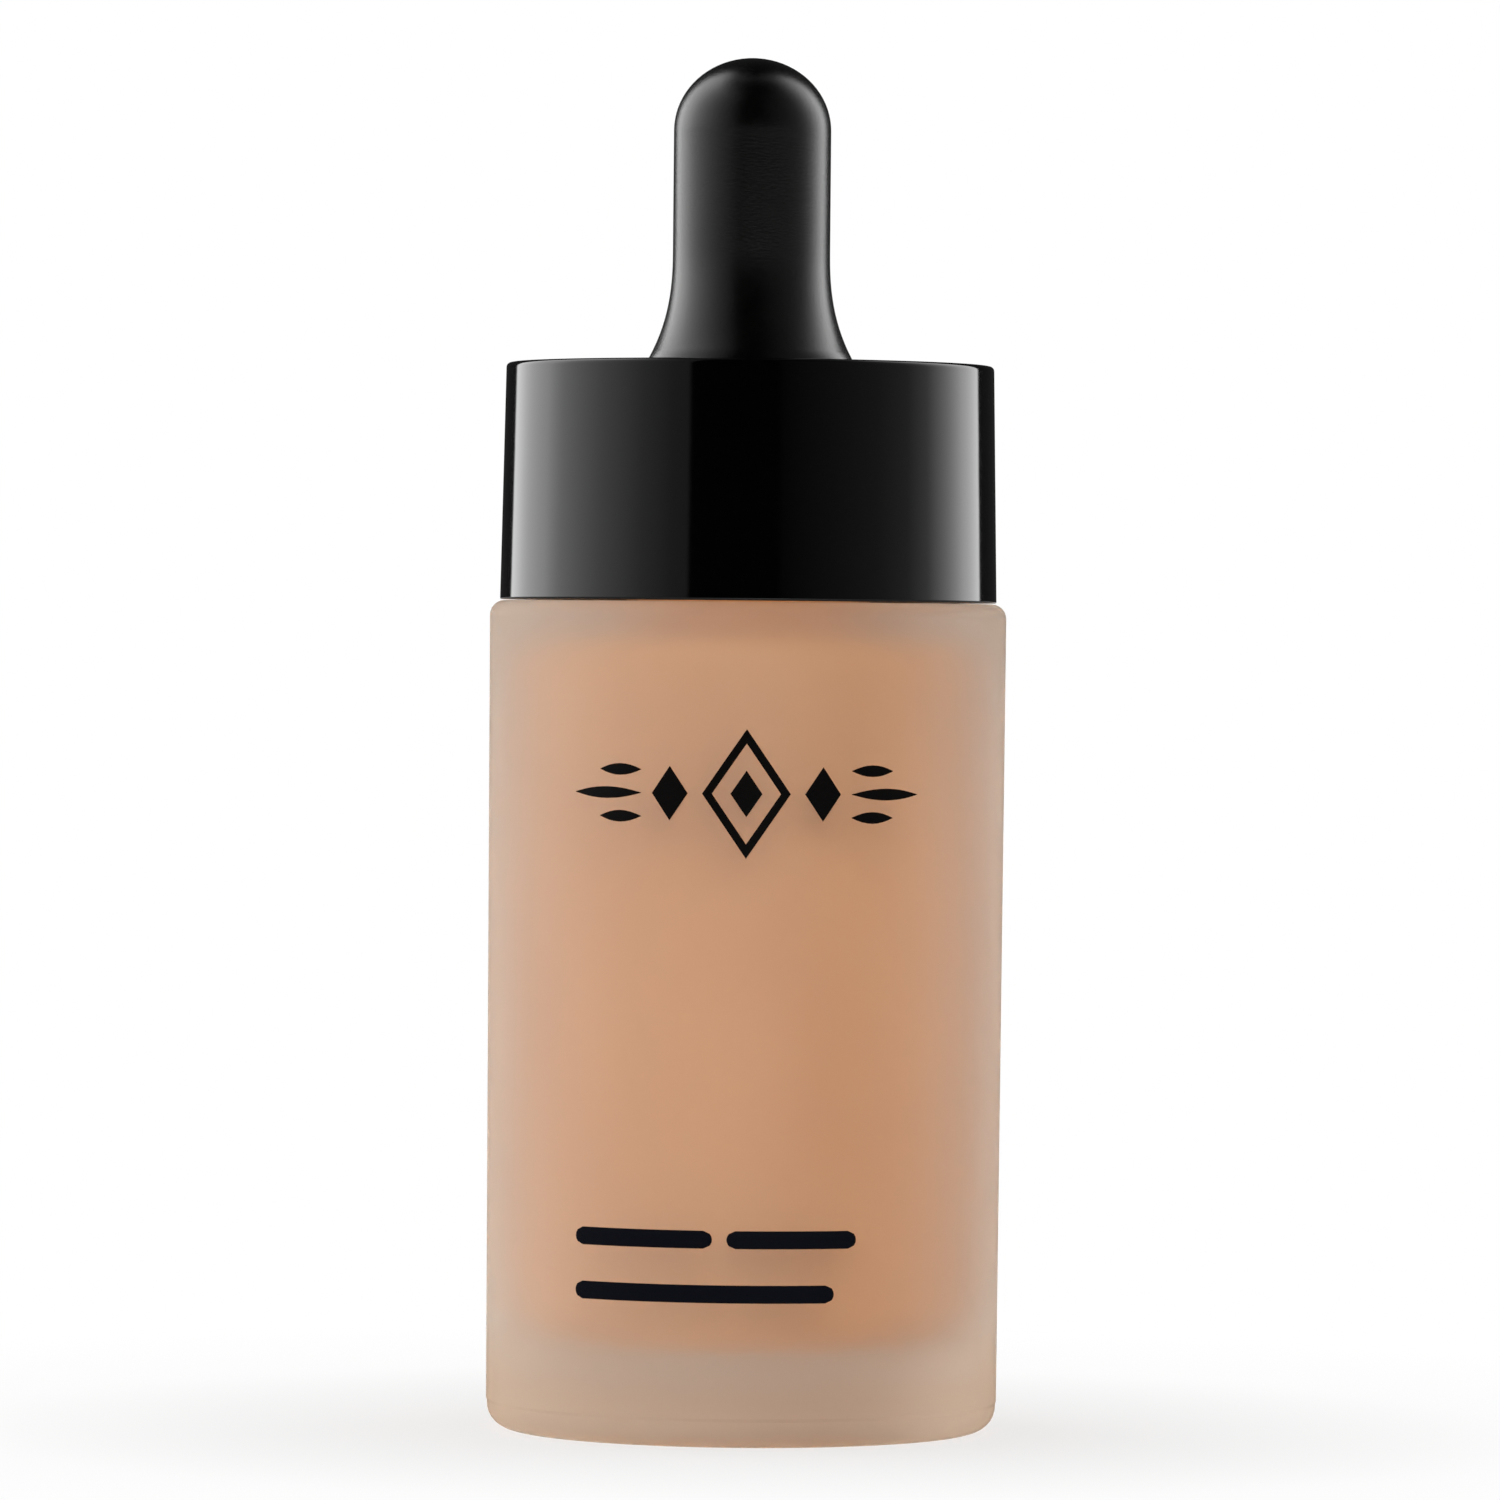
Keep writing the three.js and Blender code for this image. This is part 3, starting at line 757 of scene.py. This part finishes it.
class BOTTLE_OT_washer(bpy.types.Operator):
    """Foam washer that seals the rim"""

    bl_idname = "bottle.washer"
    bl_label = "Sealing Washer"

    def execute(self, context):
        settings = context.scene.bottle
        low, high = WASHER_BOX
        bore = settings.dropper.pipette_radius + settings.dropper.washer_gap
        outline = [
            (bore, low.z, 0.08 * MM),
            (high.x, low.z, 0.15 * MM),
            (high.x, high.z, 0.15 * MM),
            (bore, high.z, 0.08 * MM),
        ]
        bm = turned(outline, closed=True)
        foam = closed_cell_foam(settings.colours)
        place_piece(bm, "washer", "washer", "seal_foam", "sealing_washer", foam)
        return {"FINISHED"}


class BOTTLE_OT_pipette(bpy.types.Operator):
    """Drawn glass tube with a tapered tip"""

    bl_idname = "bottle.pipette"
    bl_label = "Glass Pipette"

    def execute(self, context):
        settings = context.scene.bottle
        dropper = settings.dropper
        low, high = PIPETTE_BOX
        cone = low.z + dropper.tip_length
        straight = cone + dropper.taper
        bore = dropper.pipette_radius - dropper.pipette_wall
        bead = dropper.pipette_radius + dropper.bead_reach
        outline = [
            (dropper.tip_radius, low.z, 0.35 * MM),
            (dropper.tip_radius, cone, 3 * MM),
            (dropper.pipette_radius, straight, 6 * MM),
            (dropper.pipette_radius, high.z - dropper.bead_height, 0.2 * MM),
            (bead, high.z - dropper.bead_height, 0.4 * MM),
            (bead, high.z, 0.5 * MM),
            (bore, high.z, 0.4 * MM),
            (bore, straight, 6 * MM),
            (dropper.tip_bore, cone, 3 * MM),
            (dropper.tip_bore, low.z, 0.25 * MM),
        ]
        bm = turned(outline, closed=True)
        glass = polished_glass(settings.colours, "pipette_glass")
        place_piece(bm, "pipette", "dropper", "clear_glass", "glass_pipette", glass)
        return {"FINISHED"}


class BOTTLE_OT_bulb(bpy.types.Operator):
    """Hollow rubber bulb with a flared skirt"""

    bl_idname = "bottle.bulb"
    bl_label = "Rubber Bulb"

    SKIRT_STEPS = 14
    SKIRT_POWER = 2.5
    DOME_STEPS = 20

    def dome(self, radius, edge, height):
        """Points of an elliptical dome, from the axis to its edge."""
        angles = [math.pi / 2 * step / self.DOME_STEPS for step in range(self.DOME_STEPS + 1)]
        return [(radius * math.sin(a) if a else 0, edge + height * math.cos(a)) for a in angles]

    def skirt(self, dropper, foot):
        """Points of the flare, from the straight side to the upright lip."""
        points = []
        for step in range(self.SKIRT_STEPS + 1):
            down = step / self.SKIRT_STEPS
            radius = dropper.bulb_radius + dropper.skirt_reach * down**self.SKIRT_POWER
            height = dropper.skirt_height - (dropper.skirt_height - dropper.skirt_lip) * down
            points.append((radius, foot + height))
        return points

    def execute(self, context):
        settings = context.scene.bottle
        dropper, gap = settings.dropper, settings.cap.seat_gap
        low, high = BULB_BOX
        foot = SHELL_BOX[1].z + gap
        dome_edge = high.z - dropper.bulb_dome
        hollow = dropper.bulb_radius - dropper.bulb_wall
        grip = dropper.pipette_radius + gap
        flange_top = low.z + dropper.flange
        tube_top = PIPETTE_BOX[1].z
        bead_foot = tube_top - dropper.bead_height - gap
        outline = [
            *self.dome(dropper.bulb_radius, dome_edge, dropper.bulb_dome),
            *self.skirt(dropper, foot),
            (dropper.bulb_radius + dropper.skirt_reach, foot, 0.15 * MM),
            (dropper.waist_radius, foot, 0.2 * MM),
            (dropper.waist_radius, flange_top, 0.3 * MM),
            (high.x, flange_top, 0.3 * MM),
            (high.x, low.z, 0.3 * MM),
            (grip, low.z, 0.2 * MM),
            (grip, bead_foot),
            (grip + dropper.bead_reach, bead_foot),
            (grip + dropper.bead_reach, tube_top + gap),
            (hollow, tube_top + 0.7 * MM, 0.3 * MM),
            *reversed(self.dome(hollow, dome_edge, dropper.bulb_dome - dropper.bulb_wall)),
        ]
        bm = turned(outline)
        rubber = matt_rubber(settings.colours)
        place_piece(bm, "bulb", "dropper", "black_rubber", "rubber_bulb", rubber)
        return {"FINISHED"}


class BOTTLE_OT_inner_cap(bpy.types.Operator):
    """Inner cap with the thread, and ribs that the outer shell is pressed over"""

    bl_idname = "bottle.inner_cap"
    bl_label = "Inner Cap"

    RINGS = 80  # up the bore, for the thread

    def execute(self, context):
        settings = context.scene.bottle
        cap, thread = settings.cap, settings.thread
        low, high = INNER_CAP_BOX
        crest = settings.glass.neck_radius + thread.neck_depth + thread.crest_gap
        bore = crest + thread.cap_depth
        skirt = bore + cap.skirt_wall
        plate = high.z - cap.plate
        hole = settings.dropper.waist_radius + cap.hole_gap
        outline = [
            (bore, low.z, 0.4 * MM),
            (skirt, low.z, 0.4 * MM),
            (skirt, plate, 0.6 * MM),
            (high.x, plate, 0.2 * MM),
            (high.x, high.z, 0.3 * MM),
            (hole, high.z, 0.2 * MM),
            (hole, plate, 0.2 * MM),
            (bore, plate, 0.5 * MM),
        ]
        bm = bmesh.new()
        draw_outline(bm, outline, closed=True)
        upright_rings(bm, bore, low.z, plate, self.RINGS)
        turn(bm)
        raise_thread(bm, thread, bore, -thread.cap_depth, thread_middle(thread) - thread.pitch / 2)
        inside = Vector((skirt - cap.skirt_wall / 2, 0, settings.glass.height + cap.rib_lift))
        outside = Vector((high.x - cap.rib_inset, 0, plate + cap.plate / 2))
        for i in range(cap.ribs):
            self.add_rib(bm, inside, outside, cap.rib_width, math.tau * (i + 0.5) / cap.ribs)
        plastic = moulded_polypropylene(settings.colours)
        place_piece(bm, "threaded_cap", "cap", "black_polypropylene", "inner_cap", plastic)
        return {"FINISHED"}

    @staticmethod
    def add_rib(bm, inside, outside, width, angle):
        """An upright rib that starts in the skirt and ends in the plate, so that it is fused to both."""
        size = outside - inside + Vector((0, width, 0))
        middle = (inside + outside) / 2
        around = Matrix.Rotation(angle, 4, "Z")
        verts = bmesh.ops.create_cube(bm, size=1, matrix=Matrix.Diagonal((*size, 1)))["verts"]
        bmesh.ops.translate(bm, verts=verts, vec=middle)
        bmesh.ops.rotate(bm, verts=verts, cent=(0, 0, 0), matrix=around)
        foot = [v for v in verts if v.co.z < inside.z + FINE]
        lower = [edge for edge in bm.edges if all(v in foot for v in edge.verts)]
        bevel(bm, lower, 0.2 * MM, "EDGES", 3)


class BOTTLE_OT_shell(bpy.types.Operator):
    """Gloss black outer shell"""

    bl_idname = "bottle.shell"
    bl_label = "Outer Shell"

    def execute(self, context):
        settings = context.scene.bottle
        cap = settings.cap
        low, high = SHELL_BOX
        radius = high.x
        top_radius = radius - cap.draft
        hole = settings.dropper.waist_radius + cap.hole_gap
        snap = settings.glass.height + cap.rib_lift - cap.seat_gap
        snap_radius = INNER_CAP_BOX[1].x - cap.snap_reach
        outline = [
            (radius - cap.shell_wall, low.z, cap.edge_rounding),
            (radius, low.z, cap.edge_rounding),
            (top_radius, high.z, cap.top_rounding),
            (hole, high.z, 0.2 * MM),
            (hole, high.z - cap.shell_plate, 0.2 * MM),
            (top_radius - cap.shell_wall, high.z - cap.shell_plate, 0.4 * MM),
            (top_radius - cap.shell_wall, snap),
            (snap_radius, snap - cap.snap_reach, 0.2 * MM),
            (snap_radius, snap - cap.snap_height + cap.snap_reach, 0.2 * MM),
            (radius - cap.shell_wall, snap - cap.snap_height),
        ]
        bm = turned(outline, closed=True)
        gloss = gloss_black_plastic(settings.colours)
        place_piece(bm, "shell", "cap", "gloss_black", "outer_shell", gloss)
        return {"FINISHED"}


class BOTTLE_OT_ink(bpy.types.Operator):
    """Plain printed marks: lozenges between rules, and bars"""

    bl_idname = "bottle.ink"
    bl_label = "Front Print"

    CUT = 0.4 * MM  # longest facet of ink across the glass
    SINK = 0.01 * MM  # how far the ink starts inside the glass
    HEART = 0.36  # of the middle lozenge's size, for the one inside it
    SMALL = 0.42  # of the middle lozenge's size, for the ones beside it
    SHORT = 0.6  # of the middle rule's length, for those above and below it
    TIP = 0.04  # of a rule's width, for its ends
    BARS = (  # row, then start and end along it
        (1, 0, 10.9 * MM),
        (1, 11.95 * MM, 21.6 * MM),
        (0, 0, 19.9 * MM),
    )

    def execute(self, context):
        settings = context.scene.bottle
        ink = settings.ink
        emblem = bmesh.new()
        self.add_lozenge(emblem, ink, 0, 1, cells=18, stroke=2)
        self.add_lozenge(emblem, ink, 0, self.HEART, cells=8)
        for side in (-1, 1):
            self.add_lozenge(emblem, ink, side * ink.lozenge_pitch, self.SMALL, cells=8)
            for row in (-1, 0, 1):
                span = ink.rule_length * (self.SHORT if row else 1)
                self.add_rule(emblem, side, ink.emblem_height + row * ink.rule_pitch, span, ink)
        bars = bmesh.new()
        for row, start, end in self.BARS:
            height = ink.bar_height + row * ink.bar_pitch
            self.add_bar(bars, start - ink.bar_left, end - ink.bar_left, height, ink.bar_width)
        for bm, name, inked in (
            (emblem, "printed_emblem", screen_ink("emblem_ink", settings.colours.ink)),
            (bars, "printed_bars", screen_ink("bar_ink", settings.colours.ink_blue)),
        ):
            self.wrap(bm, settings.glass, ink.film)
            place_piece(bm, name, "bottle", "gloss_black", None, inked)
        return {"FINISHED"}

    @staticmethod
    def add_lozenge(bm, ink, across, share, cells, stroke=0):
        """A lozenge, with its size as a share of the middle one's: solid, or a stroke some cells wide."""
        half = math.sqrt(0.5)
        made = bmesh.ops.create_grid(bm, x_segments=cells, y_segments=cells, size=half)["verts"]
        if stroke:
            inside = half * (1 - 2 * stroke / cells) - FINE
            hollow = [v for v in made if max(abs(v.co.x), abs(v.co.y)) < inside]
            made = [v for v in made if v not in hollow]
            bmesh.ops.delete(bm, geom=hollow, context="VERTS")
        bmesh.ops.rotate(bm, verts=made, cent=(0, 0, 0), matrix=Matrix.Rotation(math.pi / 4, 3, "Z"))
        size = (share * ink.lozenge_width / 2, share * ink.lozenge_height / 2, 1)
        bmesh.ops.scale(bm, verts=made, vec=size)
        bmesh.ops.translate(bm, verts=made, vec=(across, ink.emblem_height, 0))

    def add_bar(self, bm, left, right, height, width):
        """A bar with round ends."""
        cuts = max(2, round((right - left) / self.CUT))
        size = Matrix.Diagonal(((right - left) / 2, width / 2, 1, 1))
        place = Matrix.Translation(((left + right) / 2, height, 0))
        made = bmesh.ops.create_grid(bm, x_segments=cuts, y_segments=6, size=1, matrix=place @ size)
        for vert in made["verts"]:
            across = (vert.co.y - height) / (width / 2)
            end = width / 2 * (1 - math.sqrt(max(0, 1 - across**2)))
            vert.co.x = min(max(vert.co.x, left + end), right - end)
        bmesh.ops.remove_doubles(bm, verts=made["verts"], dist=FINE)

    def add_rule(self, bm, side, height, span, ink):
        """A rule that swells in the middle and thins to both ends."""
        middle = side * (ink.rule_start + span / 2)
        size = Matrix.Diagonal((span / 2, ink.rule_width / 2, 1, 1))
        place = Matrix.Translation((middle, height, 0))
        cuts = round(span / self.CUT)
        made = bmesh.ops.create_grid(bm, x_segments=cuts, y_segments=2, size=1, matrix=place @ size)
        for vert in made["verts"]:
            outward = min(1, max(0, (vert.co.x - middle) * side / span + 0.5))
            vert.co.y = height + (vert.co.y - height) * max(self.TIP, 4 * outward * (1 - outward))

    def wrap(self, bm, glass, film):
        """Gives the flat marks the ink's thickness and lays them round the front of the glass."""
        # the extrusion turns the faces it keeps, so the ink points outwards on every side
        made = bmesh.ops.extrude_face_region(bm, geom=bm.faces[:], use_keep_orig=True)
        raised = [item for item in made["geom"] if isinstance(item, bmesh.types.BMVert)]
        bmesh.ops.translate(bm, verts=raised, vec=(0, 0, film))
        for vert in bm.verts:
            across, height, lift = vert.co
            radius = glass.base_radius + glass.flare * height / glass.height
            angle = across / glass.base_radius
            out = radius + lift - self.SINK
            vert.co = (out * math.sin(angle), -out * math.cos(angle), height)


# ---------------------------------------------------------------- stage

# The tent's brightness to each side, from straight in front (0) to straight behind (1)
LEFT_LIGHT = (
    (0.150, 0), (0.160, 0.055), (0.200, 0.062), (0.283, 0.12), (0.405, 0.27), (0.548, 0.52),
    (0.611, 0.74), (0.700, 0.74), (0.760, 0.80), (0.797, 0.76), (0.807, 0.006),
)
RIGHT_LIGHT = (
    (0.075, 0), (0.085, 0.006), (0.140, 0.014), (0.222, 0.024), (0.344, 0.042), (0.439, 0.075),
    (0.509, 0.165), (0.588, 0.47), (0.657, 0.78), (0.735, 0.90), (0.752, 0.90), (0.760, 0.006),
)
# The same from the horizon (0) to straight above (1)
LEFT_HEIGHT = ((0.0, 1.0), (0.3, 1.0), (0.5, 0.9), (0.85, 0.8), (0.93, 0.1))
RIGHT_HEIGHT = ((0.0, 1.0), (0.3, 1.0), (0.5, 1.0), (0.8, 0.6), (0.93, 0.1))
# How much of the floor shows as plain white, by the distance from the bottle's axis in metres
FLOOR_WHITE = ((0.0, 0.6), (0.03, 0.8), (0.06, 0.96), (0.1, 1.0))


class BOTTLE_OT_stage(bpy.types.Operator):
    """Pale floor, soft light tent and camera"""

    bl_idname = "bottle.stage"
    bl_label = "Studio"

    CAMERA_DISTANCE = 0.695
    CAMERA_HEIGHT = 0.0594
    CAMERA_ASIDE = 0.00023
    CAMERA_DOWN = math.radians(0.73)
    CAMERA_ROLL = math.radians(0.53)
    LENS = 224.0  # millimetres
    SENSOR = 36.0  # millimetres
    NEAREST = 0.01  # what is closer to the camera isn't shown
    FLOOR_RADIUS = 3.0
    TENT_POWER = 4.0
    SOFT_SHARE = 0.5  # of the tent's light, for what isn't a reflection
    DARK = 0.004  # the tent where it is darkest
    LAMP_WIDTH = 0.6
    LAMP_AIM = (0, 0, 0.04)
    FILLS = (  # lamps that open up the shadows: name, place and watts
        ("front_fill", (0.12, -0.94, 0.36), 2.75),
        ("back_fill", (0.15, 0.95, 0.45), 0.7),
    )
    FROSTS = (  # lamps that give the etched glass its milky sides
        ("left_frost", (-0.94, -0.16, 0.25), 8.5),
        ("right_frost", (0.86, 0.35, 0.25), 5.0),
    )

    def execute(self, context):
        self.add_floor(context)
        self.light_tent(context)
        for fill in self.FILLS:
            self.add_lamp(context, *fill)
        etched = bpy.data.collections.new("frost")
        etched.objects.link(bpy.data.objects["bottle_glass"])
        for frost in self.FROSTS:
            lamp = self.add_lamp(context, *frost)
            lamp.light_linking.receiver_collection = etched
            lamp.visible_transmission = False
        self.add_camera(context)
        context.scene.view_settings.view_transform = "Standard"
        return {"FINISHED"}

    def add_floor(self, context):
        bm = bmesh.new()
        bmesh.ops.create_circle(bm, cap_ends=True, radius=self.FLOOR_RADIUS, segments=96)
        mesh = bpy.data.meshes.new("floor")
        bm.to_mesh(mesh)
        bm.free()
        material, tree = new_material("floor")
        mottle = tree.noise(40, detail=4)
        paper = context.scene.bottle.colours.paper
        lit = tree.principled(
            Base_Color=tree.mix(mottle, paper, [0.985 * c for c in paper]),
            Roughness=0.75,
            Specular_IOR_Level=0.2,
        )
        glow = tree.node("ShaderNodeEmission", inputs={"Color": WHITE, "Strength": 1.0})
        place = {0: tree.coordinates()}
        away = tree.node("ShaderNodeVectorMath", {"operation": "LENGTH"}, place, output="Value")
        seen = tree.node("ShaderNodeLightPath", output="Is Camera Ray")
        share = tree.ramp(away, *FLOOR_WHITE) * seen
        tree.surface(tree.node("ShaderNodeMixShader", inputs={0: share, 1: lit, 2: glow}))
        mesh.materials.append(material)
        floor = bpy.data.objects.new("floor", mesh)
        context.scene.collection.objects.link(floor)

    def light_tent(self, context):
        """Soft light all round, brightest behind each side, dark straight in front and behind."""
        world = bpy.data.worlds.new("tent")
        context.scene.world = world
        tree = Tree(world)
        direction = tree.node("ShaderNodeTexCoord", output="Generated")
        split = "ShaderNodeSeparateXYZ"
        x, y, z = (tree.node(split, inputs={0: direction}, output=i) for i in range(3))
        turn_away = tree.node("ShaderNodeMath", {"operation": "ARCTAN2"}, {0: x, 1: -y}) / math.pi
        left = tree.ramp(-turn_away, *LEFT_LIGHT) * tree.ramp(z, *LEFT_HEIGHT)
        right = tree.ramp(turn_away, *RIGHT_LIGHT) * tree.ramp(z, *RIGHT_HEIGHT)
        mirrored = tree.node("ShaderNodeLightPath", output="Is Glossy Ray")
        share = self.SOFT_SHARE + (1 - self.SOFT_SHARE) * mirrored
        tent = (left + right) * share * self.TENT_POWER + self.DARK
        white = tree.node("ShaderNodeBackground", inputs={"Color": WHITE, "Strength": 1.0})
        soft = tree.node("ShaderNodeBackground", inputs={"Color": WHITE, "Strength": tent})
        seen = tree.node("ShaderNodeLightPath", output="Is Camera Ray")
        shown = tree.node("ShaderNodeMixShader", inputs={0: seen, 1: soft, 2: white})
        tree.node("ShaderNodeOutputWorld", inputs={"Surface": shown})

    def add_lamp(self, context, name, place, watts):
        """A wide soft lamp that no camera or reflection shows, so that the gloss is left to the tent."""
        data = bpy.data.lights.new(name, "AREA")
        data.shape = "DISK"
        data.size = self.LAMP_WIDTH
        data.energy = watts
        lamp = bpy.data.objects.new(name, data)
        context.scene.collection.objects.link(lamp)
        aim = Vector(self.LAMP_AIM) - Vector(place)
        lamp.matrix_world = Matrix.Translation(place) @ aim.to_track_quat("-Z", "Y").to_matrix().to_4x4()
        lamp.visible_camera = False
        lamp.visible_glossy = False
        return lamp

    def add_camera(self, context):
        data = bpy.data.cameras.new("camera")
        data.sensor_width = self.SENSOR
        data.lens = self.LENS
        data.clip_start = self.NEAREST
        camera = bpy.data.objects.new("camera", data)
        context.scene.collection.objects.link(camera)
        upright = Matrix.Rotation(math.pi / 2 - self.CAMERA_DOWN, 4, "X")
        rolled = Matrix.Rotation(self.CAMERA_ROLL, 4, "Z")
        place = Matrix.Translation((self.CAMERA_ASIDE, -self.CAMERA_DISTANCE, self.CAMERA_HEIGHT))
        camera.matrix_world = place @ upright @ rolled
        context.scene.camera = camera


# ---------------------------------------------------------------- panel and registration

STEPS = (
    BOTTLE_OT_glass,
    BOTTLE_OT_contents,
    BOTTLE_OT_wiper,
    BOTTLE_OT_washer,
    BOTTLE_OT_pipette,
    BOTTLE_OT_bulb,
    BOTTLE_OT_inner_cap,
    BOTTLE_OT_shell,
    BOTTLE_OT_ink,
    BOTTLE_OT_stage,
)


class BOTTLE_PT_build(bpy.types.Panel):
    """Steps that build the bottle"""

    bl_idname = "BOTTLE_PT_build"
    bl_label = "Foundation Bottle"
    bl_space_type = "VIEW_3D"
    bl_region_type = "UI"
    bl_category = "Bottle"

    def draw(self, context):
        for step in STEPS:
            self.layout.operator(step.bl_idname)


GROUPS = (GlassSizes, ThreadSizes, DropperSizes, CapSizes, PrintSizes, Colours, BottleSettings)
CLASSES = (*GROUPS, *STEPS, BOTTLE_PT_build)


def register():
    for cls in CLASSES:
        bpy.utils.register_class(cls)
    bpy.types.Scene.bottle = bpy.props.PointerProperty(type=BottleSettings)


def unregister():
    del bpy.types.Scene.bottle
    for cls in reversed(CLASSES):
        bpy.utils.unregister_class(cls)


def main():
    register()
    for step in STEPS:
        group, name = step.bl_idname.split(".")
        getattr(getattr(bpy.ops, group), name)()
    bpy.context.view_layer.update()


if __name__ == "__main__":
    main()
